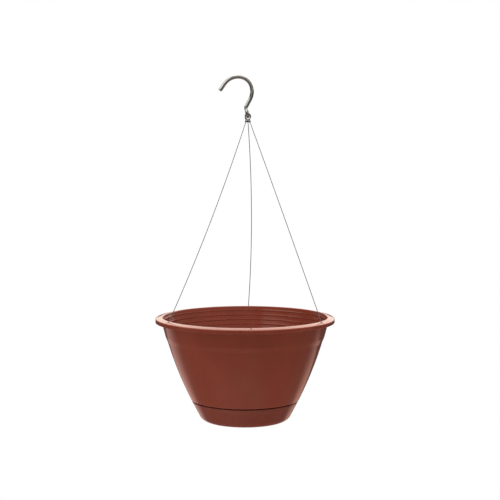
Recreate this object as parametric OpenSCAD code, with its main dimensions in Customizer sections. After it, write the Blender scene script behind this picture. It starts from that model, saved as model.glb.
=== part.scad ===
// Hanging basket: a terracotta plastic pot with a clip-on saucer, held by three wire strands on a steel hook.
// Millimetres, +Z up. The origin is the highest point inside the hook's crown, where the basket hangs.

/* [Layout] */
// Height from the inside of the hook's crown down to the top of the pot's rim
hang_drop = 402.5; // [400:0.5:430]
// How far the pot's axis stands to the right of the hook's crown
pot_x = 11.5; // [10:0.5:14]

/* [Pot] */
// Outer diameter of the rim
rim_d = 305; // [304:0.5:310]
// Radius of the outer wall just under the rim
wall_top_r = 140.6; // [140.2:0.1:141]
// Lean of the outer wall from upright, under the rim
lean_top = 13.5; // [13.2:0.1:14]
// Lean of the outer wall from upright, at the shoulder above the saucer
lean_low = 26.5; // [26.2:0.1:27]
// Height from the top of the rim down to the shoulder above the saucer
shoulder_drop = 142; // [139:0.5:145]
// Thickness of the plastic walls
wall = 2.2; // [1.8:0.1:2.4]
// Depth of the skirt that hangs from the edge of the rim
skirt_h = 9; // [8:0.5:10]
// Depth of the thicker collar under the rim
collar_h = 34; // [32:1:40]
// How far the collar stands proud of the wall below it
collar_step = 1; // [0.6:0.1:1.2]

/* [Hanger holes and drains] */
// Directions of the three hanger holes: rear, front left and front right
hole_angles = [88, 210, 330];
// Diameter of a hanger hole
hanger_hole_d = 5; // [4.8:0.1:5.4]
// Radius of the circle that the hanger holes lie on
hole_circle_r = 147; // [146.8:0.1:147.2]
// Number of drain holes in the base
drain_count = 6; // [3:3:9]
// Diameter of a drain hole
drain_d = 9; // [6:0.5:10]

/* [Saucer] */
// Open gap between the pot's shoulder and the saucer's lip
saucer_gap = 3.2; // [2.6:0.1:3.6]
// Height from the saucer's lip down to its underside
saucer_h = 33; // [32:0.1:33.5]
// Outer radius of the saucer's bottom corner
saucer_corner_r = 16.5; // [15:0.5:18]
// Number of snap posts that hold the saucer in the base of the pot
post_count = 3; // [3:1:4]

/* [Hook] */
// Diameter of the hook's wire
hook_wire_d = 6.4; // [6.2:0.1:6.4]
// Bend radius of the crown on the shank side, at the middle of the wire
crown_r = 23.4; // [22:0.2:24]
// Bend radius of the crown on the tip side, at the middle of the wire
tip_bend_r = 27.8; // [26:0.2:28]
// Radius of the eye at the middle of the wire
eye_r = 5.7; // [5.6:0.1:6]
// Lean of the eye from upright
eye_lean = 12; // [8:1:16]

/* [Strands] */
// Diameter of a strand's wire
strand_d = 1.2; // [1:0.1:1.2]
// Sideways bow of each strand at the middle of its length: rear, front left and front right
strand_bows = [6, 5, 0.6];

/* [Hidden] */

terracotta = [0.44, 0.20, 0.16];
chrome_grey = [0.75, 0.75, 0.73];
wire_grey = [0.55, 0.55, 0.55];

eps = 0.01;
round_fn = 96;
wire_fn = 32;

// Pot, with heights measured from the top of its rim
wall_top_z = -9;
wall_bend_r = (shoulder_drop + wall_top_z) / (sin(lean_low) - sin(lean_top));
wall_centre = [wall_top_r - wall_bend_r * cos(lean_top), wall_top_z + wall_bend_r * sin(lean_top)];
arc_steps = 16;
corner_steps = 6;
rim_r = rim_d / 2;
rim_fall = 2.4;
rim_chamfer = 0.8;
rim_in_r = wall_top_r + rim_chamfer;
rim_flat_r = wall_top_r + 2.4;
rim_round_r = 1;
plate_t = 2.4;
skirt_t = 2;
skirt_draft = 0.3;
skirt_edge = 0.5;
rim_root = 4.5;
collar_top = 1.5;
collar_blend = 4;
shoulder_round_r = 1.5;
shoulder_r = wall_centre[0] + wall_bend_r * cos(lean_low);
foot_in = 6.5;
foot_lean = 27.5;
foot_corner_r = 12;
foot_bottom_z = -shoulder_drop - 29;
ridge_count = 4;
ridge_pitch = 8;
ridge_first_z = -6;
ridge_h = 2.2;
ridge_proud = 0.5;
ridge_slope = 0.2;
ridge_root = 0.9;
drain_circle_r = 56;
mark_w = 1.4;
mark_depth = 0.9;
mark_angle = 274;
mark_in = 5;
mark_length = 19;

// Saucer
lip_z = -shoulder_drop - saucer_gap;
lip_r = shoulder_r - saucer_gap * tan(lean_low);
saucer_bottom_z = lip_z - saucer_h;
saucer_floor_z = saucer_bottom_z + wall;
recess_depth = 1;
recess_r = 50;
rest_gap = 0.2;
rib_count = 6;
rib_t = 2;
rib_in_r = 16;
rib_out_r = 62;
post_circle_r = 40;
post_d = 6;
post_head_d = 7.6;
post_tip_d = 5;
post_hole_d = 8.4;
post_slit = 1.6;
post_head_rise = 0.4;
post_head_h = 4.5;

// Hook: tip, crown, shank and eye, as bends of one wire
hook_r = hook_wire_d / 2;
hook_sides = 20;
tip_turn = 55;
tip_length = 14;
tip_edge_r = 1.2;
tip_step = 30;
bend_step = 9;
eye_step = 12;
shank_bend_r = 33;
shank_turn = 28;
shank_length = 12.2;
neck_bend_r = 4;
eye_bend_r = 3.4;
eye_stop = 48;

// Strands: each loops round the bottom of the eye and hooks under the rim
strand_r = strand_d / 2;
strand_sides = 8;
loop_ys = [1.5, -1.65, 0.1];
loop_rs = [4.7, 5, 4.2];
neck_length = 8;
wrap_turns = 2;
wrap_steps = 10;
wrap_slack = 0.1;
knee_r = 147.7;
knee_z = -5;
barb_drop = 0.8;
barb_bend_r = 2.2;
barb_rise = 1;
barb_step = 30;
length_steps = 12;
loop_steps = 12;

function arc_points(centre, r, from, to, steps) =
    [for (i = [0:steps]) let(a = from + (to - from) * i / steps) centre + r * [cos(a), sin(a)]];

// Lean of the wall's arc, offset by d, at height z
function lean_at(z, d) = asin((wall_centre[1] - z) / (wall_bend_r + d));

// Radius of the wall's arc, offset by d, at height z
function wall_r(z, d) = wall_centre[0] + (wall_bend_r + d) * cos(lean_at(z, d));

// Points of the wall's arc, offset by d outwards, between two heights
function wall_arc(d, z_from, z_to, steps) =
    arc_points(wall_centre, wall_bend_r + d, -lean_at(z_from, d), -lean_at(z_to, d), steps);

// Centre of the round corner between a wall that leans through point p and a floor at z
function corner_centre(p, lean, r, z) =
    [p[0] + ((z + r - p[1]) * sin(lean) - r) / cos(lean), z + r];

// A point moved inwards, square to a wall that leans
function inside(p, lean, d) = p + d * [-cos(lean), sin(lean)];

foot_top = [shoulder_r - foot_in, -shoulder_drop];
foot_centre = corner_centre(foot_top, foot_lean, foot_corner_r, foot_bottom_z);
saucer_centre = corner_centre([lip_r, lip_z], foot_lean, saucer_corner_r, saucer_bottom_z);

// Points of a bend in the hook's wire
function bend(centre, r, from, to) = arc_points(centre, r, from, to, ceil(abs(to - from) / bend_step));

function unit(v) = v / norm(v);

// Direction of a path at each of its points
function tangents(path) =
    [for (i = [0:len(path) - 1]) unit(path[min(i + 1, len(path) - 1)] - path[max(i - 1, 0)])];

// One cross direction per point, carried along the path without twist
function carried(dirs, first) =
    [for (i = 0, n = unit(first - (first * dirs[0]) * dirs[0]); i < len(dirs);
          i = i + 1, n = i < len(dirs) ? unit(n - (n * dirs[i]) * dirs[i]) : n) n];

// Wire of radius radii[i] at each point of a path
module wire(path, radii, sides, first) {
    dirs = tangents(path);
    ns = carried(dirs, first);
    last = len(path) - 1;
    points = [for (i = [0:last], k = [0:sides - 1])
        path[i] + radii[i] * (cos(360 * k / sides) * ns[i] + sin(360 * k / sides) * cross(dirs[i], ns[i]))];
    walls = [for (i = [0:last - 1], k = [0:sides - 1], half = [0, 1])
        let(a = i * sides + k, b = i * sides + (k + 1) % sides)
        half == 0 ? [a, b + sides, b] : [a, a + sides, b + sides]];
    ends = [[for (k = [0:sides - 1]) k], [for (k = [sides - 1:-1:0]) last * sides + k]];
    polyhedron(points, concat(walls, ends), convexity = 6);
}

// The hook's wire in its own plane, from the tip to the neck, as [x, z]
crown_z = hook_r - crown_r;
tip_bend = bend([0, hook_r - tip_bend_r], tip_bend_r, 90 + tip_turn, 90);
tip_dir = [-cos(tip_turn), -sin(tip_turn)];
shank_bend = bend([crown_r - shank_bend_r, crown_z], shank_bend_r, -bend_step / 2, -shank_turn);
shank_dir = [-sin(shank_turn), -cos(shank_turn)];
shank_end = shank_bend[len(shank_bend) - 1] + shank_length * shank_dir;
neck_bend = bend(shank_end + neck_bend_r * [cos(shank_turn), -sin(shank_turn)],
                 neck_bend_r, 180 - shank_turn, 180 + eye_lean);
hook_flat = concat(
    [for (a = [0:tip_step:90]) tip_bend[0] + (tip_length - tip_edge_r * (1 - cos(a))) * tip_dir],
    tip_bend,
    bend([0, crown_z], crown_r, 90 - bend_step, 0),
    shank_bend,
    neck_bend);

// The eye lies in a plane across the hook's own, as [across, down] from the eye's centre
eye_down = [sin(eye_lean), -cos(eye_lean)];
eye_reach = sqrt(pow(eye_r + eye_bend_r, 2) - pow(eye_bend_r, 2));
eye_centre = neck_bend[len(neck_bend) - 1] + eye_reach * eye_down;
eye_low = eye_centre + eye_r * eye_down;
eye_meet = acos(eye_reach / (eye_r + eye_bend_r));
eye_flat = concat(
    [for (a = [eye_step:eye_step:90 - eye_meet - eye_step / 2])
        [eye_bend_r * (cos(a) - 1), eye_bend_r * sin(a) - eye_reach]],
    [for (a = [eye_meet:eye_step:360 - eye_stop]) eye_r * [-sin(a), -cos(a)]]);

hook_path = concat(
    [for (p = hook_flat) [p[0], 0, p[1]]],
    [for (p = eye_flat) [eye_centre[0] + p[1] * eye_down[0], p[0], eye_centre[1] + p[1] * eye_down[1]]]);

// Hook: rounded tip, crown, shank and the eye
module hook() {
    radii = [for (i = [0:len(hook_path) - 1]) hook_r - tip_edge_r * (1 - sin(min(90, tip_step * i)))];
    color(chrome_grey) wire(hook_path, radii, hook_sides, [0, 1, 0]);
}

// Where strand i turns over the eye, and where it reaches the hole in the rim
function loop_centre(i) = [eye_low[0], loop_ys[i], eye_low[1]];
function knee(i) = [pot_x + knee_r * cos(hole_angles[i]), knee_r * sin(hole_angles[i]), knee_z - hang_drop];

// Route of strand i: barb under the rim, bowed length, loop over the eye, and tail wound round the neck
function strand_path(i) =
    let(c = loop_centre(i), foot = knee(i), r = loop_rs[i],
        down = unit(foot - c), neck = c + neck_length * down,
        flat_down = unit([down[0], 0, down[2]]), side = [-flat_down[2], 0, flat_down[0]],
        open_angle = acos(r / norm([neck[0] - c[0], neck[2] - c[2]])),
        drift = [0, down[1] / norm([down[0], down[2]]), 0],
        around = [-sin(hole_angles[i]), cos(hole_angles[i]), 0], out = cross(down, side),
        wrap_r = strand_d + wrap_slack)
    concat(
        [foot + 2 * barb_bend_r * around + [0, 0, barb_rise - barb_drop]],
        [for (a = [0:barb_step:180])
            foot - [0, 0, barb_drop] + barb_bend_r * ((1 + cos(a)) * around - [0, 0, sin(a)])],
        [for (k = [0:length_steps - 1]) let(t = k / length_steps)
            foot + t * (neck - foot) + 4 * t * (1 - t) * strand_bows[i] * side],
        [neck],
        [for (k = [0:loop_steps]) let(a = open_angle + (360 - 2 * open_angle) * k / loop_steps)
            c + r * (cos(a) * flat_down + sin(a) * side + max(0, cos(a)) * drift)],
        [for (k = [0:wrap_turns * wrap_steps]) let(a = 360 * k / wrap_steps)
            neck + a / 360 * wrap_r * down + wrap_r * (sin(a) * out - cos(a) * side)]);

module strand(i) {
    path = strand_path(i);
    color(wire_grey) wire(path, [for (p = path) strand_r], strand_sides, [1, 0.3, 0]);
}

module strand_rear() { strand(0); }
module strand_left() { strand(1); }
module strand_right() { strand(2); }

// Outline of the pot's rim, collar and outer wall, from the inner edge of the opening down to the shoulder
function pot_outside() = concat(
    [[rim_flat_r, 0]],
    arc_points([rim_r - rim_round_r, -rim_fall - rim_round_r], rim_round_r, 90, 0, corner_steps),
    [[rim_r, skirt_edge - skirt_h], [rim_r - skirt_edge, -skirt_h], [rim_r - skirt_t, -skirt_h]],
    [[rim_r - skirt_t - skirt_draft, -rim_fall - plate_t], [wall_top_r + rim_root, -plate_t - skirt_edge]],
    wall_arc(collar_step, -plate_t - collar_top, -collar_h, corner_steps),
    wall_arc(0, -collar_h - collar_blend, -shoulder_drop + shoulder_round_r, arc_steps),
    arc_points([shoulder_r - shoulder_round_r, -shoulder_drop + shoulder_round_r], shoulder_round_r,
               -lean_low, -90, corner_steps));

// Outline of the foot that stands inside the saucer
function foot_outside() = concat(
    [foot_top],
    arc_points(foot_centre, foot_corner_r, -foot_lean, -90, corner_steps),
    [[0, foot_bottom_z]]);

function pot_inside() = concat(
    [[0, foot_bottom_z + wall]],
    arc_points(foot_centre, foot_corner_r - wall, -90, -foot_lean, corner_steps),
    [inside(foot_top, foot_lean, wall) + [0, wall]],
    [[wall_r(-shoulder_drop + wall, -wall), -shoulder_drop + wall]],
    wall_arc(-wall, -shoulder_drop + 1.5 * wall, -rim_chamfer, arc_steps),
    [[rim_in_r, 0]]);

module ridges() {
    for (i = [0:ridge_count - 1]) {
        z = ridge_first_z - i * ridge_pitch;
        r = wall_r(z, -wall);
        rotate_extrude($fn = round_fn * 2) polygon([
            [r + ridge_root, z], [r - ridge_proud, z - ridge_h / 3],
            [r - ridge_proud - ridge_slope, z - ridge_h], [r + ridge_root / 2, z - ridge_h]]);
    }
}

module pot() {
    color(terracotta) translate([pot_x, 0, -hang_drop]) difference() {
        union() {
            rotate_extrude($fn = round_fn * 2) polygon(concat(pot_outside(), foot_outside(), pot_inside()));
            ridges();
        }
        for (a = hole_angles)
            rotate([0, 0, a]) translate([hole_circle_r, 0, -2 * plate_t])
                cylinder(d = hanger_hole_d, h = 3 * plate_t, $fn = wire_fn);
        for (i = [0:drain_count - 1])
            rotate([0, 0, (i + 0.5) * 360 / drain_count]) translate([drain_circle_r, 0, foot_bottom_z - 1])
                cylinder(d = drain_d, h = wall + 2, $fn = wire_fn);
        for (i = [0:post_count - 1])
            rotate([0, 0, i * 360 / post_count]) translate([post_circle_r, 0, foot_bottom_z - 1])
                cylinder(d = post_hole_d, h = wall + 2, $fn = wire_fn);
        rotate([0, 0, mark_angle]) translate([rim_flat_r, 0, 0])
            rotate([0, atan(rim_fall / (rim_r - rim_round_r - rim_flat_r)), 0])
                translate([-mark_in, -mark_w / 2, -mark_depth]) cube([mark_length, mark_w, 2 * mark_depth]);
    }
}

// Snap post: a split stem with a barbed head, standing on the floor of the saucer
module snap_post() {
    stem_top = foot_bottom_z + wall + post_head_rise;
    difference() {
        union() {
            translate([0, 0, saucer_floor_z - eps])
                cylinder(d = post_d, h = stem_top - saucer_floor_z + eps, $fn = wire_fn);
            translate([0, 0, stem_top])
                cylinder(d1 = post_head_d, d2 = post_tip_d, h = post_head_h, $fn = wire_fn);
        }
        translate([-post_d, -post_slit / 2, saucer_floor_z + wall])
            cube([2 * post_d, post_slit, stem_top + post_head_h]);
    }
}

module saucer() {
    outline = concat(
        [[lip_r, lip_z]],
        arc_points(saucer_centre, saucer_corner_r, -foot_lean, -90, corner_steps),
        [[recess_r + recess_depth, saucer_bottom_z], [recess_r, saucer_bottom_z + recess_depth]],
        [[0, saucer_bottom_z + recess_depth], [0, saucer_floor_z + recess_depth]],
        [[recess_r, saucer_floor_z + recess_depth], [recess_r + recess_depth, saucer_floor_z]],
        arc_points(saucer_centre, saucer_corner_r - wall, -90, -foot_lean, corner_steps),
        [inside([lip_r, lip_z], foot_lean, wall)]);
    rib_h = foot_bottom_z - rest_gap - saucer_floor_z;
    color(terracotta) translate([pot_x, 0, -hang_drop]) {
        rotate_extrude($fn = round_fn * 2) polygon(outline);
        for (i = [0:rib_count - 1])
            rotate([0, 0, (i + 0.5) * 360 / rib_count])
                translate([rib_in_r, -rib_t / 2, saucer_floor_z - eps])
                    cube([rib_out_r - rib_in_r, rib_t, rib_h]);
        for (i = [0:post_count - 1])
            rotate([0, 0, i * 360 / post_count]) translate([post_circle_r, 0, 0]) snap_post();
    }
}

hook();
strand_rear();
strand_left();
strand_right();
pot();
saucer();
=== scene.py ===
"""Hanging basket: terracotta plastic pot with a clip-on saucer, three wire strands and a plated hook.

Metres, +Z up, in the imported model's frame. Shapes are written in millimetres: the pot and the saucer as
radii about the pot's axis and heights from the top of its rim, the wires from the inside of the hook's
crown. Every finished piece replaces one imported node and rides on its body.
"""

import math

import bmesh
import bpy
from mathutils import Matrix, Vector


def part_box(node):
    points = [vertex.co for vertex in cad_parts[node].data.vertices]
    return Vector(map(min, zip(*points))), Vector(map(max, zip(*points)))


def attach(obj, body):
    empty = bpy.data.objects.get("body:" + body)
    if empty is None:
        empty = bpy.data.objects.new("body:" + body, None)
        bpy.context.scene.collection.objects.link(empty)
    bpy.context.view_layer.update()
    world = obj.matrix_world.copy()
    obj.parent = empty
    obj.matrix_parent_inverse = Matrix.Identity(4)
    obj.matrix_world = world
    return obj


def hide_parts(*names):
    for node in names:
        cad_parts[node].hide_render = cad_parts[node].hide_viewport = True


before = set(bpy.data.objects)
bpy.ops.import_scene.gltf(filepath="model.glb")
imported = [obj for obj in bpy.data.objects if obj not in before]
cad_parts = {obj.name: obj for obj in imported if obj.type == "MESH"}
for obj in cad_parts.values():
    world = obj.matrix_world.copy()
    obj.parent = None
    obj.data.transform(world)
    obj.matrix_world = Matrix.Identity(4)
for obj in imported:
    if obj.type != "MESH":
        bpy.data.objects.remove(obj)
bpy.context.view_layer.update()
scene = bpy.context.scene

MM = 0.001

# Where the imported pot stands: its axis, the plane of its rim's top and the rim's radius
pot_low, pot_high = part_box("pot")
AXIS_X = (pot_low.x + pot_high.x) / 2
RIM_Z = pot_high.z
RIM_R = (pot_high.x - pot_low.x) / 2 / MM
FOOT_Z = (pot_low.z - RIM_Z) / MM
SAUCER_Z = (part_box("saucer")[0].z - RIM_Z) / MM
SAUCER_TOP_Z = (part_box("saucer")[1].z - RIM_Z) / MM


def cosd(a):
    return math.cos(math.radians(a))


def sind(a):
    return math.sin(math.radians(a))


def rgb(r, g, b):
    return (r, g, b, 1.0)


class Nodes:
    """Short way to write a node tree."""

    def __init__(self, tree):
        self.tree = tree
        tree.nodes.clear()

    def put(self, socket, value):
        """Links a socket to another node's output, or sets it to a number, colour or vector."""
        if isinstance(value, bpy.types.NodeSocket):
            self.tree.links.new(value, socket)
        else:
            socket.default_value = value

    def new(self, kind, inputs=None, **settings):
        node = self.tree.nodes.new("ShaderNode" + kind)
        for key, value in settings.items():
            setattr(node, key, value)
        for key, value in (inputs or {}).items():
            self.put(node.inputs[key], value)
        return node

    def chain(self, operation, values):
        total = values[0]
        for value in values[1:]:
            total = self.new("Math", {0: total, 1: value}, operation=operation).outputs[0]
        return total

    def plus(self, *values):
        return self.chain("ADD", values)

    def times(self, *values):
        return self.chain("MULTIPLY", values)

    def vector(self, operation, a, b=None):
        inputs = {0: a} if b is None else {0: a, 1: b}
        return self.new("VectorMath", inputs, operation=operation).outputs

    def fade(self, value, start, end, low=0.0, high=1.0):
        """Goes smoothly from low to high as value goes from start to end."""
        return self.new(
            "MapRange",
            {"Value": value, "From Min": start, "From Max": end, "To Min": low, "To Max": high},
            interpolation_type="SMOOTHSTEP",
        ).outputs["Result"]

    def noise(self, vector, scale, detail, roughness=0.5):
        return self.new(
            "TexNoise", {"Vector": vector, "Scale": scale, "Detail": detail, "Roughness": roughness}
        ).outputs["Fac"]

    def mix(self, factor, a, b):
        """Colour that goes from a to b as factor goes from 0 to 1."""
        node = self.new("Mix", data_type="RGBA")
        for socket, value in ((node.inputs[0], factor), (node.inputs[6], a), (node.inputs[7], b)):
            self.put(socket, value)
        return node.outputs[2]


# ---------------------------------------------------------------- camera

# Standing in front of the basket and pitched down a little
CAMERA_AT = (0.0199, -2.247, -0.101)
CAMERA_PITCH = 4.78
CAMERA_LENS, CAMERA_SENSOR = 95.6, 36.0

camera = bpy.data.objects.new("camera", bpy.data.cameras.new("camera"))
camera.data.lens, camera.data.sensor_width = CAMERA_LENS, CAMERA_SENSOR
camera.data.clip_start, camera.data.clip_end = 0.05, 100.0
camera.location = CAMERA_AT
camera.rotation_euler = (math.radians(90 - CAMERA_PITCH), 0, 0)
scene.collection.objects.link(camera)
scene.camera = camera
scene.view_settings.view_transform = "Standard"

# ---------------------------------------------------------------- studio

# Strength of the room below the horizon, above it, the share left in its dark left corner, and overhead
LOW_ROOM, CEILING, DARK_CORNER, OVERHEAD = 0.07, 0.32, 0.2, 0.8
# The wall behind the basket and how much brighter it is higher up, and the window on the left
WALL_BEHIND, WALL_RISE, WINDOW_LEFT = 1.6, 1.7, 1.5
# The table below the basket, its far part, and how much lower that part's upper edge is on the right
TABLE, TABLE_BEHIND, TABLE_SLOPE = 0.1, 0.9, 0.07
# Colours of the daylight, of the warm wall, and of the table's far part from left to right, and how
# strongly the wall's brightness turns the daylight to its own colour
DAYLIGHT, WARM_WALL = rgb(1.0, 0.97, 0.91), rgb(1.0, 0.86, 0.75)
TABLE_LEFT, TABLE_RIGHT = rgb(1.0, 0.58, 0.52), rgb(1.0, 0.48, 0.34)
WALL_WARMTH = 0.5

# The camera sees plain white. Light and reflections see the room, which is drawn by direction
world = bpy.data.worlds.new("studio")
scene.world = world
world.use_nodes = True
w = Nodes(world.node_tree)
direction = w.new("SeparateXYZ", {0: w.new("TexCoord").outputs["Generated"]}).outputs
sideways, back, up = direction["X"], direction["Y"], direction["Z"]
dark_corner = w.times(w.fade(up, 0.1, 0.2), w.fade(sideways, -0.15, -0.35))
ceiling = w.plus(
    w.times(w.fade(up, 0.0, 0.04, LOW_ROOM, CEILING),
            w.fade(dark_corner, 0.0, 1.0, 1.0, DARK_CORNER)),
    w.fade(up, 0.75, 0.95, 0.0, OVERHEAD))
wall_behind = w.times(
    w.fade(back, 0.55, 0.75, 0.0, WALL_BEHIND), w.fade(up, 0.05, 0.1),
    w.fade(up, 0.15, 0.5, 1.0, WALL_RISE), w.fade(sideways, -0.4, -0.2))
window_left = w.times(
    w.fade(sideways, -0.3, -0.5, 0.0, WINDOW_LEFT), w.fade(up, 0.34, 0.4), w.fade(back, 0.15, 0.0))
table_line = w.plus(up, w.fade(sideways, -0.2, 0.15, 0.0, TABLE_SLOPE))
table_behind = w.times(
    w.fade(back, 0.44, 0.78, 0.0, TABLE_BEHIND), w.fade(table_line, -0.24, -0.27),
    w.fade(up, -0.58, -0.45))
table = w.fade(up, -0.2, -0.5, 0.0, TABLE)
room = w.plus(w.plus(ceiling, wall_behind), w.plus(window_left, table), table_behind)
table_colour = w.mix(w.fade(sideways, -0.3, 0.3), TABLE_LEFT, TABLE_RIGHT)
tint = w.mix(w.times(wall_behind, WALL_WARMTH), DAYLIGHT, WARM_WALL)
tint = w.mix(table_behind, tint, table_colour)
seen = w.new("LightPath").outputs["Is Camera Ray"]
backdrop = w.new("Background", {"Color": rgb(1.0, 1.0, 1.0), "Strength": 1.0})
studio = w.new("Background", {"Color": tint, "Strength": room})
both = w.new("MixShader", {0: seen, 1: studio.outputs[0], 2: backdrop.outputs[0]})
w.new("OutputWorld", {"Surface": both.outputs[0]})

# Floor: pale, well below the basket, brightening to plain white away from it
FLOOR_Z = -1.35
FLOOR_HALF = 14.0
PALE_TO, WHITE_FROM = 0.9, 2.1
FLOOR_COLOUR, FLOOR_GLOW = rgb(0.82, 0.82, 0.81), 0.12

floor_mesh = bpy.data.meshes.new("floor")
corners = [(-1, -1), (1, -1), (1, 1), (-1, 1)]
floor_mesh.from_pydata(
    [(x * FLOOR_HALF, y * FLOOR_HALF, FLOOR_Z) for x, y in corners], [], [(0, 1, 2, 3)])
floor = bpy.data.objects.new("floor", floor_mesh)
scene.collection.objects.link(floor)
floor_look = bpy.data.materials.new("pale_floor")
floor_look.use_nodes = True
n = Nodes(floor_look.node_tree)
spot = n.new("TexCoord").outputs["Object"]
away = n.vector("LENGTH", n.vector("SUBTRACT", spot, (AXIS_X, 0, FLOOR_Z))[0])["Value"]
shell = n.new("BsdfPrincipled", {
    "Base Color": n.mix(n.fade(away, PALE_TO, WHITE_FROM), FLOOR_COLOUR, rgb(0.0, 0.0, 0.0)),
    "Roughness": 0.9, "Specular IOR Level": 0.0, "Emission Color": rgb(1, 1, 1),
    "Emission Strength": n.fade(away, PALE_TO, WHITE_FROM, FLOOR_GLOW, 1.0)})
n.new("OutputMaterial", {"Surface": shell.outputs[0]})
floor.data.materials.append(floor_look)
floor.visible_glossy = False
floor.visible_diffuse = False
floor.visible_shadow = False


def softbox(name, at, target, width, height, watts):
    """A large soft light that faces the target. It only fills: reflections come from the studio."""
    light = bpy.data.lights.new(name, "AREA")
    light.shape, light.size, light.size_y = "RECTANGLE", width, height
    light.energy = watts
    lamp = bpy.data.objects.new(name, light)
    lamp.location = at
    lamp.visible_camera = False
    lamp.visible_glossy = False
    lamp.rotation_euler = (Vector(target) - Vector(at)).to_track_quat("-Z", "Y").to_euler()
    scene.collection.objects.link(lamp)


middle = (AXIS_X, 0, RIM_Z - 0.08)
softbox("top_softbox", (0.05, -0.35, 0.95), middle, width=1.2, height=0.9, watts=36)
softbox("floor_bounce", (-0.25, -0.6, -2.2), middle, width=2.4, height=1.4, watts=50)
softbox("front_fill", (-0.4, -2.2, -0.55), middle, width=2.6, height=1.4, watts=5)
softbox("left_fill", (-1.5, -0.4, -0.6), middle, width=0.8, height=0.9, watts=8)
softbox("right_fill", (1.6, -0.4, -0.6), middle, width=0.8, height=0.9, watts=10)

# ---------------------------------------------------------------- shapes


def arc(centre, radius, start, end, steps):
    """Points of an arc in the plane, in degrees."""
    angles = [start + (end - start) * i / steps for i in range(steps + 1)]
    return [(centre[0] + radius * cosd(a), centre[1] + radius * sind(a)) for a in angles]


def rounded(points, steps=4):
    """Outline with rounded corners. A point is (r, z), or (r, z, radius) where it has a round corner."""
    longest_reach = 0.45
    out = []
    for i, p in enumerate(points):
        radius = p[2] if len(p) > 2 else 0
        here = Vector(p[:2])
        if not radius or i in (0, len(points) - 1):
            out.append(tuple(here))
            continue
        back, ahead = Vector(points[i - 1][:2]) - here, Vector(points[i + 1][:2]) - here
        turn = back.angle(ahead)
        reach = min(radius / math.tan(turn / 2), longest_reach * back.length,
                    longest_reach * ahead.length)
        a, b = here + back.normalized() * reach, here + ahead.normalized() * reach
        for k in range(steps + 1):
            t = k / steps
            out.append(tuple(a * (1 - t) ** 2 + here * 2 * t * (1 - t) + b * t ** 2))
    return out


def add_piece(name, mesh, node, body, material):
    """Links a finished piece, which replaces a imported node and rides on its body."""
    piece = bpy.data.objects.new(name, mesh)
    scene.collection.objects.link(piece)
    piece.data.materials.append(material)
    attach(piece, body)
    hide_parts(node)


def lathe(name, profile, segments=256):
    """Solid turned about the pot's axis from a profile of (r, z) that starts and ends on the axis."""
    on_axis = 1e-6
    verts, faces, rings = [], [], []
    for r, z in profile:
        if r < on_axis:
            rings.append([len(verts)])
            verts.append((AXIS_X, 0, RIM_Z + z * MM))
        else:
            rings.append(list(range(len(verts), len(verts) + segments)))
            for k in range(segments):
                a = 2 * math.pi * k / segments
                verts.append((AXIS_X + r * MM * math.cos(a), r * MM * math.sin(a), RIM_Z + z * MM))
    for lower, upper in zip(rings, rings[1:]):
        for k in range(segments):
            j = (k + 1) % segments
            if len(lower) == 1:
                faces.append((lower[0], upper[j], upper[k]))
            elif len(upper) == 1:
                faces.append((lower[k], lower[j], upper[0]))
            else:
                faces.append((lower[k], lower[j], upper[j], upper[k]))
    mesh = bpy.data.meshes.new(name)
    mesh.from_pydata(verts, [], faces)
    fix = bmesh.new()
    fix.from_mesh(mesh)
    bmesh.ops.recalc_face_normals(fix, faces=fix.faces)
    fix.to_mesh(mesh)
    fix.free()
    return mesh


def place(radius, angle, z):
    """Point at a radius and a direction about the pot's axis, in metres."""
    a = math.radians(angle)
    return Vector((AXIS_X + radius * MM * math.cos(a), radius * MM * math.sin(a), RIM_Z + z * MM))


def spread(count, shift=0.0):
    """Directions of evenly spaced features about the axis, turned on by a share of their spacing."""
    return [(i + shift) * 360 / count for i in range(count)]


def add_cylinder(solid, foot, radius, height, sides=32, top_radius=None):
    """Adds an upright round solid to a bmesh, standing on its foot."""
    top_radius = radius if top_radius is None else top_radius
    depth = height * MM
    made = bmesh.ops.create_cone(solid, cap_ends=True, segments=sides, radius1=radius * MM,
                                 radius2=top_radius * MM, depth=depth)
    bmesh.ops.translate(solid, verts=made["verts"], vec=foot + Vector((0, 0, depth / 2)))


def add_block(solid, centre, size, angle, fall=0.0, roll=0.0):
    """Adds a block: rolled about its length, tipped down outwards, then turned about the vertical."""
    made = bmesh.ops.create_cube(solid, size=1.0)
    bmesh.ops.scale(solid, verts=made["verts"], vec=Vector([side * MM for side in size]))
    turn = (Matrix.Rotation(math.radians(angle), 4, "Z") @ Matrix.Rotation(math.radians(fall), 4, "Y")
            @ Matrix.Rotation(math.radians(roll), 4, "X"))
    bmesh.ops.transform(solid, verts=made["verts"], matrix=turn)
    bmesh.ops.translate(solid, verts=made["verts"], vec=centre)


def carve(mesh, solid, operation):
    """The mesh with a solid cut from it or joined to it. The solid is used up."""
    tool_mesh = bpy.data.meshes.new("tool")
    solid.to_mesh(tool_mesh)
    solid.free()
    base, tool = bpy.data.objects.new("base", mesh), bpy.data.objects.new("tool", tool_mesh)
    for helper in (base, tool):
        scene.collection.objects.link(helper)
    cut = base.modifiers.new("cut", "BOOLEAN")
    cut.operation, cut.solver, cut.object = operation, "EXACT", tool
    graph = bpy.context.evaluated_depsgraph_get()
    done = bpy.data.meshes.new_from_object(base.evaluated_get(graph))
    for helper in (base, tool):
        bpy.data.objects.remove(helper)
    return done


def shade(mesh, crease):
    """Smooth shading, with edges sharper than the crease angle kept crisp."""
    mesh.shade_smooth()
    mesh.set_sharp_from_angle(angle=math.radians(crease))


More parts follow.
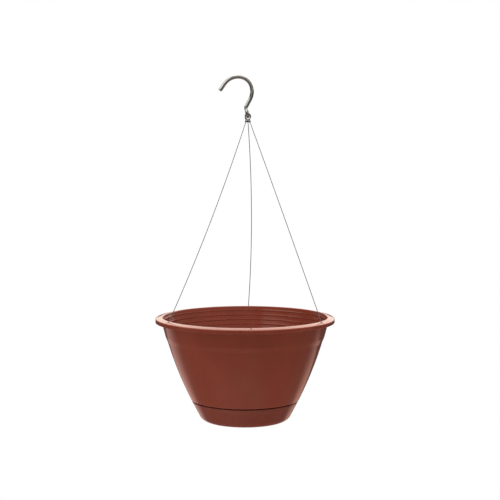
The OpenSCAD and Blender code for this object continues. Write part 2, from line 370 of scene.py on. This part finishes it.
def mark_edges(mesh, circles, reach):
    """Writes how near each point is to a worn edge, from 0 to 1. An edge is a circle, given as (r, z)."""
    near = mesh.attributes.new("edge", "FLOAT", "POINT")
    values = []
    for v in mesh.vertices:
        r = math.hypot(v.co.x - AXIS_X, v.co.y) / MM
        z = (v.co.z - RIM_Z) / MM
        gap = min(math.hypot(r - cr, z - cz) for cr, cz in circles)
        values.append(max(0.0, 1.0 - gap / reach))
    near.data.foreach_set("value", values)


# ---------------------------------------------------------------- pot

MOULDING_CREASE = 32

# The wall is an arc that leans outwards, flatter towards the saucer
WALL_TOP_R, WALL_TOP_Z = 140.6, -9.0
LEAN_TOP, LEAN_LOW = math.radians(13.5), math.radians(26.5)
SHOULDER_Z = -142.0
WALL = 2.2
BEND_R = (WALL_TOP_Z - SHOULDER_Z) / (math.sin(LEAN_LOW) - math.sin(LEAN_TOP))
BEND_AT = (WALL_TOP_R - BEND_R * math.cos(LEAN_TOP), WALL_TOP_Z + BEND_R * math.sin(LEAN_TOP))
SHOULDER_R = BEND_AT[0] + BEND_R * math.cos(LEAN_LOW)
# Rim: fall of its top, where the top starts flat and starts to fall, and the chamfer inside the opening
RIM_FALL, RIM_IN, RIM_FLAT, CHAMFER_Z = 2.4, 0.8, 2.4, -1.2
# Underside of the rim where it leaves the wall, and the skirt that hangs from its edge
ROOT_OUT, ROOT_Z = 4.5, -2.9
SKIRT_T, SKIRT_ROOT_T, SKIRT_ROOT_Z, SKIRT_Z = 2.0, 2.3, -5.0, -9.0
# Thicker collar under the rim, with a soft lower edge
COLLAR_Z, COLLAR_STEP, COLLAR_BLEND, BLEND_R = -34.0, 1.0, 8.0, 30
# Stacking ridges round the inside of the wall
RIDGES, RIDGE_FIRST_Z, RIDGE_PITCH, RIDGE_H, RIDGE_PROUD = 4, -6.0, 8.0, 2.2, 0.5
RIDGE_FLARE, RIDGE_LEAD = 0.2, 0.3
# Foot that stands inside the saucer
FOOT_LEAN = math.radians(27.5)
FOOT_LEAN_DEG = math.degrees(FOOT_LEAN)
FOOT_TOP_R = SHOULDER_R - 6.5
FOOT_CORNER_R = 12.0


def wall_r(z, offset=0.0):
    """Radius of the wall's arc at height z, or of a surface at an offset outside it."""
    lean = math.asin((BEND_AT[1] - z) / (BEND_R + offset))
    return BEND_AT[0] + (BEND_R + offset) * math.cos(lean)


def on_wall(z, offset=0.0):
    return (wall_r(z, offset), z)


def wall_line(offset, start, end, steps):
    return [on_wall(start + (end - start) * i / steps, offset) for i in range(steps + 1)]


def corner_centre(r, z, lean, radius, floor):
    """Centre of the round corner between a leaning wall through (r, z) and a flat floor."""
    return (r + ((floor + radius - z) * math.sin(lean) - radius) / math.cos(lean), floor + radius)


def inner_ridges():
    """Outline of the ridges, from the lowest up."""
    points = []
    for i in reversed(range(RIDGES)):
        z = RIDGE_FIRST_Z - i * RIDGE_PITCH
        r = wall_r(z, -WALL)
        points += [
            on_wall(z - RIDGE_H - 1.2, -WALL),
            on_wall(z - RIDGE_H, -WALL) + (0.4,),
            (r - RIDGE_PROUD - RIDGE_FLARE, z - RIDGE_H, 0.35),
            (r - RIDGE_PROUD, z - RIDGE_H / 3, 0.5),
            (r, z + RIDGE_LEAD, 0.6)]
    return points


foot_at = corner_centre(FOOT_TOP_R, SHOULDER_Z, FOOT_LEAN, FOOT_CORNER_R, FOOT_Z)
outside = rounded(
    [(0, FOOT_Z)]
    + arc(foot_at, FOOT_CORNER_R, -90, -FOOT_LEAN_DEG, 8)
    + [(FOOT_TOP_R, SHOULDER_Z, 0.9), (SHOULDER_R, SHOULDER_Z, 1.5)]
    + wall_line(0, SHOULDER_Z + 3, COLLAR_Z - 10, 20)
    + [on_wall(COLLAR_Z - COLLAR_BLEND) + (BLEND_R,), on_wall(COLLAR_Z, COLLAR_STEP) + (BLEND_R,)]
    + wall_line(COLLAR_STEP, COLLAR_Z + 6, -6.5, 6)
    + [(WALL_TOP_R + ROOT_OUT, ROOT_Z, 1.6), (RIM_R - SKIRT_ROOT_T, SKIRT_ROOT_Z, 1.0),
       (RIM_R - SKIRT_T, SKIRT_Z, 0.5), (RIM_R, SKIRT_Z, 0.7), (RIM_R, -RIM_FALL, 1.8),
       (WALL_TOP_R + RIM_FLAT, 0, 1.5), (WALL_TOP_R + RIM_IN, 0, 0.7)]
    + [on_wall(CHAMFER_Z, -WALL)])
inside = rounded(
    list(reversed(
        [(0, FOOT_Z + WALL)]
        + arc(foot_at, FOOT_CORNER_R - WALL, -90, -FOOT_LEAN_DEG, 8)
        + [(FOOT_TOP_R - WALL * math.cos(FOOT_LEAN), SHOULDER_Z + WALL * (1 + math.sin(FOOT_LEAN)), 0.8),
           on_wall(SHOULDER_Z + WALL, -WALL) + (1.6,)]
        + wall_line(-WALL, SHOULDER_Z + 6, -38, 18)
        + inner_ridges()
        + [on_wall(-4.5, -WALL), on_wall(-3.0, -WALL)])))
pot_mesh = lathe("pot_shell", outside + inside)

HOLE_ANGLES = {"strand_rear": 88, "strand_left": 210, "strand_right": 330}
HOLE_CIRCLE_R, HANGER_HOLE_R = 147.0, 2.5
DRAIN_CIRCLE_R, DRAIN_R, DRAINS = 56.0, 4.5, 6
POST_CIRCLE_R, POST_HOLE_R, POSTS = 40.0, 4.2, 3
# Nick across the front of the rim, cut by the edge of a square bar that lies along the rim's slope
NICK_R, NICK_ANGLE, NICK_Z, NICK_FALL = 147.3, 274, -1.2, 15.8
NICK_LENGTH, NICK_SIDE = 19, 1.5

holes = bmesh.new()
for angle in HOLE_ANGLES.values():
    add_cylinder(holes, place(HOLE_CIRCLE_R, angle, -8), HANGER_HOLE_R, height=12)
for angle in spread(DRAINS, 0.5):
    add_cylinder(holes, place(DRAIN_CIRCLE_R, angle, FOOT_Z - 2), DRAIN_R, height=7, sides=40)
for angle in spread(POSTS):
    add_cylinder(holes, place(POST_CIRCLE_R, angle, FOOT_Z - 2), POST_HOLE_R, height=7, sides=40)
add_block(holes, place(NICK_R, NICK_ANGLE, NICK_Z), (NICK_LENGTH, NICK_SIDE, NICK_SIDE), NICK_ANGLE,
          fall=NICK_FALL, roll=45.0)
pot_mesh = carve(pot_mesh, holes, "DIFFERENCE")
shade(pot_mesh, MOULDING_CREASE)
pot_edges = [(RIM_R, -RIM_FALL), (RIM_R, SKIRT_Z), (WALL_TOP_R + RIM_IN, 0), (SHOULDER_R, SHOULDER_Z)]
mark_edges(pot_mesh, pot_edges, reach=1.3)

# ---------------------------------------------------------------- saucer

LIP_R = SHOULDER_R - (SHOULDER_Z - SAUCER_TOP_Z) * math.tan(LEAN_LOW)
SAUCER_CORNER_R = 16.5
RECESS_R, RECESS = 50.0, 1.0
FLOOR_TOP = SAUCER_Z + WALL
RIBS, RIB_IN, RIB_OUT, RIB_T = 6, 16.0, 62.0, 2.0
RIB_TOP = FOOT_Z - 0.2
STEM_TOP = FOOT_Z + WALL + 0.4
STEM_R, HEAD_R, HEAD_TIP_R, HEAD_H = 3.0, 3.8, 2.5, 4.5
SLIT_LENGTH, SLIT_W = 12, 1.6
# How far joined parts run into each other
SUNK, HEAD_SUNK = 0.5, 0.3

saucer_at = corner_centre(LIP_R, SAUCER_TOP_Z, FOOT_LEAN, SAUCER_CORNER_R, SAUCER_Z)
saucer_outline = rounded(
    [(0, SAUCER_Z + RECESS), (RECESS_R, SAUCER_Z + RECESS, 0.5), (RECESS_R + RECESS, SAUCER_Z, 0.6)]
    + arc(saucer_at, SAUCER_CORNER_R, -90, -FOOT_LEAN_DEG, 12)
    + [(LIP_R, SAUCER_TOP_Z, 0.9),
       (LIP_R - WALL * math.cos(FOOT_LEAN), SAUCER_TOP_Z + WALL * math.sin(FOOT_LEAN), 0.9)]
    + arc(saucer_at, SAUCER_CORNER_R - WALL, -FOOT_LEAN_DEG, -90, 12)
    + [(RECESS_R + RECESS, FLOOR_TOP, 0.5), (RECESS_R, FLOOR_TOP + RECESS, 0.5),
       (0, FLOOR_TOP + RECESS)])
saucer_mesh = lathe("saucer_shell", saucer_outline)

ribs, stems, heads, slits = bmesh.new(), bmesh.new(), bmesh.new(), bmesh.new()
rib_h = RIB_TOP - FLOOR_TOP + SUNK
for angle in spread(RIBS, 0.5):
    add_block(ribs, place((RIB_IN + RIB_OUT) / 2, angle, RIB_TOP - rib_h / 2),
              (RIB_OUT - RIB_IN, RIB_T, rib_h), angle)
slit_top, slit_low = STEM_TOP + HEAD_H + 1, SAUCER_Z + 2 * WALL
for angle in spread(POSTS):
    add_cylinder(stems, place(POST_CIRCLE_R, angle, FLOOR_TOP - SUNK), STEM_R,
                 height=STEM_TOP + HEAD_SUNK - FLOOR_TOP + SUNK)
    add_cylinder(heads, place(POST_CIRCLE_R, angle, STEM_TOP), HEAD_R, HEAD_H, top_radius=HEAD_TIP_R)
    add_block(slits, place(POST_CIRCLE_R, angle, (slit_top + slit_low) / 2),
              (SLIT_LENGTH, SLIT_W, slit_top - slit_low), angle)
for part in (ribs, stems, heads):
    saucer_mesh = carve(saucer_mesh, part, "UNION")
saucer_mesh = carve(saucer_mesh, slits, "DIFFERENCE")
shade(saucer_mesh, MOULDING_CREASE)
mark_edges(saucer_mesh, [(LIP_R, SAUCER_TOP_Z), (RECESS_R + RECESS, SAUCER_Z)], reach=1.6)

# ---------------------------------------------------------------- wires

WIRE_CREASE = 50
HOOK_SIDES, STRAND_SIDES = 40, 16


def sweep(name, path, radii, sides, first):
    """Round wire along a path, closed at both ends. Its uv runs round it, and along it in metres."""
    path = [Vector(p) for p in path]
    last = len(path) - 1
    ways = [(path[min(i + 1, last)] - path[max(i - 1, 0)]).normalized() for i in range(last + 1)]
    cross = Vector(first)
    verts, lengths = [], [0.0]
    for i, (p, way) in enumerate(zip(path, ways)):
        cross = (cross - cross.dot(way) * way).normalized()
        side = way.cross(cross)
        if i:
            lengths.append(lengths[-1] + (p - path[i - 1]).length)
        for k in range(sides):
            a = 2 * math.pi * k / sides
            verts.append(p + radii[i] * (math.cos(a) * cross + math.sin(a) * side))
    verts += [path[0], path[-1]]
    faces, uvs = [], []
    for i in range(last):
        for k in range(sides):
            j = (k + 1) % sides
            faces.append((i * sides + k, i * sides + j, (i + 1) * sides + j, (i + 1) * sides + k))
            u, v = k / sides, (k + 1) / sides
            uvs += [(u, lengths[i]), (v, lengths[i]), (v, lengths[i + 1]), (u, lengths[i + 1])]
    for k in range(sides):
        j = (k + 1) % sides
        faces.append((len(verts) - 2, j, k))
        uvs += [(0, 0)] * 3
        faces.append((len(verts) - 1, last * sides + k, last * sides + j))
        uvs += [(0, lengths[-1])] * 3
    mesh = bpy.data.meshes.new(name)
    mesh.from_pydata([v * MM for v in verts], [], faces)
    layer = mesh.uv_layers.new(name="wire")
    layer.data.foreach_set("uv", [value for turn, length in uvs for value in (turn, length * MM)])
    shade(mesh, WIRE_CREASE)
    return mesh


def bend(centre, radius, start, end, step=3.5):
    return arc(centre, radius, start, end, max(3, round(abs(end - start) / step)))


def along(start, end, t):
    return tuple(a + (b - a) * t for a, b in zip(start, end))


# Hook, in its own plane as (x, z): tip, crown, shank, neck and eye
HOOK_R = 3.2
CROWN_R, TIP_BEND_R, TIP_TURN, TIP_LENGTH, TIP_EDGE = 23.4, 27.8, 55.0, 14.0, 1.2
SHANK_BEND_R, SHANK_TURN, SHANK_LENGTH, NECK_BEND_R = 33.0, 28.0, 12.2, 4.0
EYE_R, EYE_LEAN, EYE_BEND_R, EYE_STOP = 5.7, 12.0, 3.4, 48.0
TIP_ROUND = 7
TIP_STRAIGHT = 4
ENTRY_STEPS, EYE_STEPS = 12, 80
# A bend starts this far on, so that no point is doubled where two bends meet
NEXT = 3

tip_bend = bend((0, HOOK_R - TIP_BEND_R), TIP_BEND_R, 90 + TIP_TURN, 90)
backs = [TIP_LENGTH - TIP_EDGE * (1 - cosd(90 * i / (TIP_ROUND - 1))) for i in range(TIP_ROUND)]
backs += [(TIP_LENGTH - TIP_EDGE) * (1 - i / TIP_STRAIGHT) for i in range(1, TIP_STRAIGHT)]
tip = [(tip_bend[0][0] - back * cosd(TIP_TURN), tip_bend[0][1] - back * sind(TIP_TURN))
       for back in backs]
crown = bend((0, HOOK_R - CROWN_R), CROWN_R, 90 - NEXT, 0)
shank_bend = bend((CROWN_R - SHANK_BEND_R, HOOK_R - CROWN_R), SHANK_BEND_R, -NEXT, -SHANK_TURN)
shank_end = (shank_bend[-1][0] - SHANK_LENGTH * sind(SHANK_TURN),
             shank_bend[-1][1] - SHANK_LENGTH * cosd(SHANK_TURN))
shank = [along(shank_bend[-1], shank_end, t) for t in (0.25, 0.5, 0.75)]
neck = bend((shank_end[0] + NECK_BEND_R * cosd(SHANK_TURN), shank_end[1] - NECK_BEND_R * sind(SHANK_TURN)),
            NECK_BEND_R, 180 - SHANK_TURN, 180 + EYE_LEAN)
hook_flat = tip + tip_bend + crown + shank_bend + shank + neck

# The eye lies across the hook's plane, as (across, down) from its middle
eye_down = (sind(EYE_LEAN), -cosd(EYE_LEAN))
eye_reach = math.sqrt((EYE_R + EYE_BEND_R) ** 2 - EYE_BEND_R ** 2)
eye_at = (neck[-1][0] + eye_reach * eye_down[0], neck[-1][1] + eye_reach * eye_down[1])
eye_low = (eye_at[0] + EYE_R * eye_down[0], eye_at[1] + EYE_R * eye_down[1])
eye_meet = math.degrees(math.acos(eye_reach / (EYE_R + EYE_BEND_R)))
entry_turns = [(90 - eye_meet) * i / ENTRY_STEPS for i in range(1, ENTRY_STEPS)]
eye_turns = [eye_meet + (360 - EYE_STOP - eye_meet) * i / EYE_STEPS for i in range(EYE_STEPS + 1)]
eye_flat = [(EYE_BEND_R * (cosd(a) - 1), EYE_BEND_R * sind(a) - eye_reach) for a in entry_turns]
eye_flat += [(-EYE_R * sind(a), -EYE_R * cosd(a)) for a in eye_turns]
hook_path = [(x, 0, z) for x, z in hook_flat]
hook_path += [(eye_at[0] + down * eye_down[0], across, eye_at[1] + down * eye_down[1])
              for across, down in eye_flat]
hook_radii = [HOOK_R - TIP_EDGE * (1 - math.sin(math.pi / 2 * i / (TIP_ROUND - 1))) if i < TIP_ROUND
              else HOOK_R for i in range(len(hook_path))]
hook_mesh = sweep("hook_wire", hook_path, hook_radii, HOOK_SIDES, (0, 1, 0))

# Strands: barb under the rim, bowed length, loop over the eye, and tail wound round the neck
STRAND_R = 0.6
BOWS = {"strand_rear": 6.0, "strand_left": 5.0, "strand_right": 0.6}
LOOP_YS = {"strand_rear": 1.5, "strand_left": -1.65, "strand_right": 0.1}
LOOP_RS = {"strand_rear": 4.7, "strand_left": 5.0, "strand_right": 4.2}
NECK_LENGTH, TURNS, WRAP_R = 8.0, 2, 1.3
KNEE_R, KNEE_Z = 147.7, -5.0
BARB_DROP, BARB_BEND_R, BARB_RISE = 0.8, 2.2, 1.0
BARB_STEPS, LENGTH_STEPS, LOOP_STEPS, TURN_STEPS = 12, 48, 36, 24


def strand_path(name):
    angle = HOLE_ANGLES[name]
    centre = Vector((eye_low[0], LOOP_YS[name], eye_low[1]))
    foot = Vector((AXIS_X / MM + KNEE_R * cosd(angle), KNEE_R * sind(angle), KNEE_Z + RIM_Z / MM))
    radius = LOOP_RS[name]
    down = (foot - centre).normalized()
    top = centre + NECK_LENGTH * down
    flat_down = Vector((down.x, 0, down.z)).normalized()
    side = Vector((-flat_down.z, 0, flat_down.x))
    opening = math.degrees(math.acos(radius / math.hypot(top.x - centre.x, top.z - centre.z)))
    drift = Vector((0, down.y / math.hypot(down.x, down.z), 0))
    around = Vector((-sind(angle), cosd(angle), 0))
    out = down.cross(side)
    path = [foot + 2 * BARB_BEND_R * around + Vector((0, 0, BARB_RISE - BARB_DROP))]
    for i in range(BARB_STEPS + 1):
        a = 180 * i / BARB_STEPS
        path.append(foot - Vector((0, 0, BARB_DROP))
                    + BARB_BEND_R * ((1 + cosd(a)) * around - Vector((0, 0, sind(a)))))
    for i in range(LENGTH_STEPS):
        t = i / LENGTH_STEPS
        path.append(foot + t * (top - foot) + 4 * t * (1 - t) * BOWS[name] * side)
    path.append(top)
    for i in range(LOOP_STEPS + 1):
        a = opening + (360 - 2 * opening) * i / LOOP_STEPS
        path.append(centre + radius * (cosd(a) * flat_down + sind(a) * side + max(0, cosd(a)) * drift))
    for i in range(TURNS * TURN_STEPS + 1):
        a = 360 * i / TURN_STEPS
        path.append(top + a / 360 * WRAP_R * down + WRAP_R * (sind(a) * out - cosd(a) * side))
    return path


# ---------------------------------------------------------------- materials


def plastic(name, base, pale, dark, seed):
    """Moulded polypropylene: cloudy colour, flow streaks, fine grain, dull worn edges and a soft sheen."""
    material = bpy.data.materials.new(name)
    material.use_nodes = True
    n = Nodes(material.node_tree)
    spot = n.new("TexCoord").outputs["Object"]
    moved = n.vector("ADD", spot, (seed, seed * 0.7, seed * 1.3))[0]
    streaky = n.vector("MULTIPLY", moved, (1.0, 1.0, 0.12))[0]
    clouds = n.noise(moved, scale=9.0, detail=4.0, roughness=0.55)
    streaks = n.noise(streaky, scale=42.0, detail=3.0, roughness=0.6)
    grain = n.noise(moved, scale=1400.0, detail=2.0, roughness=0.6)
    patches = n.noise(moved, scale=160.0, detail=4.0, roughness=0.65)
    dusty = n.noise(moved, scale=30.0, detail=5.0, roughness=0.6)
    blotch = n.plus(n.times(clouds, 0.6), n.times(streaks, 0.4))
    colour = n.mix(n.fade(blotch, 0.34, 0.66), dark, base)
    colour = n.mix(n.fade(grain, 0.55, 0.8, 0.0, 0.08), colour, pale)
    edge = n.new("Attribute", attribute_name="edge").outputs["Fac"]
    rubbed = n.times(edge, n.fade(patches, 0.38, 0.66, 0.05, 0.3))
    colour = n.mix(rubbed, colour, pale)
    gloss = n.plus(n.fade(dusty, 0.3, 0.7, 0.1, 0.17), n.times(rubbed, 0.25))
    waves = n.noise(streaky, scale=26.0, detail=2.0)
    ripple = n.new("Bump", {"Height": waves, "Strength": 0.12, "Distance": 0.0007})
    skin = n.new("Bump", {"Height": grain, "Strength": 0.3, "Distance": 0.00006,
                          "Normal": ripple.outputs[0]})
    shell = n.new("BsdfPrincipled", {"Base Color": colour, "Roughness": gloss, "IOR": 1.49,
                                     "Specular IOR Level": 0.4, "Normal": skin.outputs[0]})
    n.new("OutputMaterial", {"Surface": shell.outputs[0]})
    return material


def metal(name, bright, dull, smooth, rough, grain_scale, lines, metallic):
    """Wire: drawn lines along it, cloudy plating and small pits."""
    material = bpy.data.materials.new(name)
    material.use_nodes = True
    n = Nodes(material.node_tree)
    spot = n.new("TexCoord").outputs["Object"]
    along_wire = n.new("UVMap", uv_map="wire").outputs[0]
    drawn = n.vector("MULTIPLY", along_wire, (lines, 8.0, 0.0))[0]
    scratches = n.noise(drawn, scale=1.0, detail=3.0, roughness=0.7)
    clouds = n.noise(spot, scale=grain_scale, detail=4.0, roughness=0.6)
    pits = n.noise(spot, scale=grain_scale * 9, detail=2.0, roughness=0.6)
    tarnish = n.plus(n.times(clouds, 0.65), n.times(scratches, 0.35))
    colour = n.mix(n.fade(tarnish, 0.36, 0.64), dull, bright)
    gloss = n.fade(tarnish, 0.35, 0.65, rough, smooth)
    relief = n.plus(n.times(scratches, 0.5), n.times(pits, 0.5))
    skin = n.new("Bump", {"Height": relief, "Strength": 0.25, "Distance": 0.00005})
    shell = n.new("BsdfPrincipled", {"Base Color": colour, "Metallic": metallic, "Roughness": gloss,
                                     "Normal": skin.outputs[0]})
    n.new("OutputMaterial", {"Surface": shell.outputs[0]})
    return material


pot_look = plastic("terracotta_pot", base=rgb(0.155, 0.030, 0.016), pale=rgb(0.26, 0.085, 0.058),
                   dark=rgb(0.138, 0.026, 0.014), seed=0.0)
# The saucer's colours are set darker than the pot's, though both are the same plastic: painted shade for
# the darker look the saucer has in this light
saucer_look = plastic("terracotta_saucer", base=rgb(0.122, 0.0245, 0.0145), pale=rgb(0.24, 0.08, 0.055),
                      dark=rgb(0.108, 0.021, 0.0125), seed=3.7)
hook_look = metal("plated_hook", bright=rgb(0.80, 0.80, 0.78), dull=rgb(0.60, 0.60, 0.58),
                  smooth=0.12, rough=0.22, grain_scale=260.0, lines=24.0, metallic=1.0)
strand_look = metal("galvanised_wire", bright=rgb(0.18, 0.18, 0.185), dull=rgb(0.13, 0.13, 0.135),
                    smooth=0.35, rough=0.5, grain_scale=420.0, lines=8.0, metallic=0.5)

# ---------------------------------------------------------------- pieces

add_piece("pot_shell", pot_mesh, "pot", "basket", pot_look)
add_piece("saucer_shell", saucer_mesh, "saucer", "saucer", saucer_look)
add_piece("hook_wire", hook_mesh, "hook", "hook", hook_look)
for name in HOLE_ANGLES:
    path = strand_path(name)
    wire = sweep(name + "_wire", path, [STRAND_R] * len(path), STRAND_SIDES, (1, 0.3, 0))
    add_piece(name + "_wire", wire, name, "basket", strand_look)
